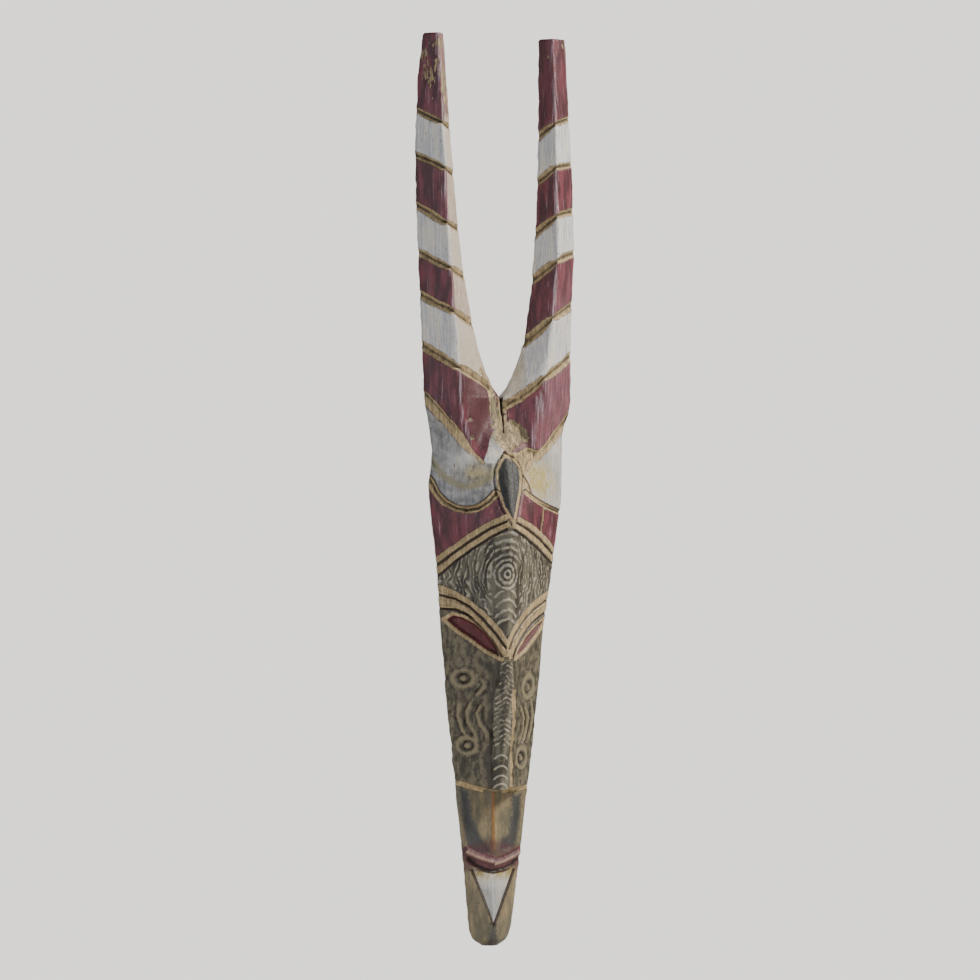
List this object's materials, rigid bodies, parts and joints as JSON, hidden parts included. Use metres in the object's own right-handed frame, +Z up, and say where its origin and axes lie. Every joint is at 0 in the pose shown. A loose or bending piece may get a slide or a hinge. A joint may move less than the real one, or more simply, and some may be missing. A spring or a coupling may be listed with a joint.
{
  "type": "carved wooden mask",
  "caption": "Tall narrow antelope mask carved from one log, with a ridged face, tall banded horns, a hollowed back and a hanging ring on a strap.",
  "frame": {"origin": "the point of the wall plane where the nail stands, under the bow of the hanging ring, on the centre line", "axes": "+Z up along the mask, -Y out of the wall the way the face looks, +X to the right of a person who faces the mask"},
  "size_m": [0.134, 0.069, 0.76],
  "materials": {
    "painted_wood": "hand-carved, rubbed paint over raw wood",
    "plated_steel": "dull zinc plate",
    "steel_wire": "drawn wire, dull zinc plate",
    "screw_steel": "yellow zinc plate"
  },
  "bodies": {
    "mask": {"carved_body": "painted_wood", "hanger_strap": "plated_steel", "hanger_screw_upper": "screw_steel", "hanger_screw_lower": "screw_steel"},
    "ring": {"hanger_ring": "steel_wire"}
  },
  "joints": [
    {"name": "ring_swing", "type": "hinge", "parent": "mask", "child": "ring", "pos_m": [0, -0.00382, -0.01187], "axis": [-1, 0, 0], "range_deg": [0, 165]}
  ]
}
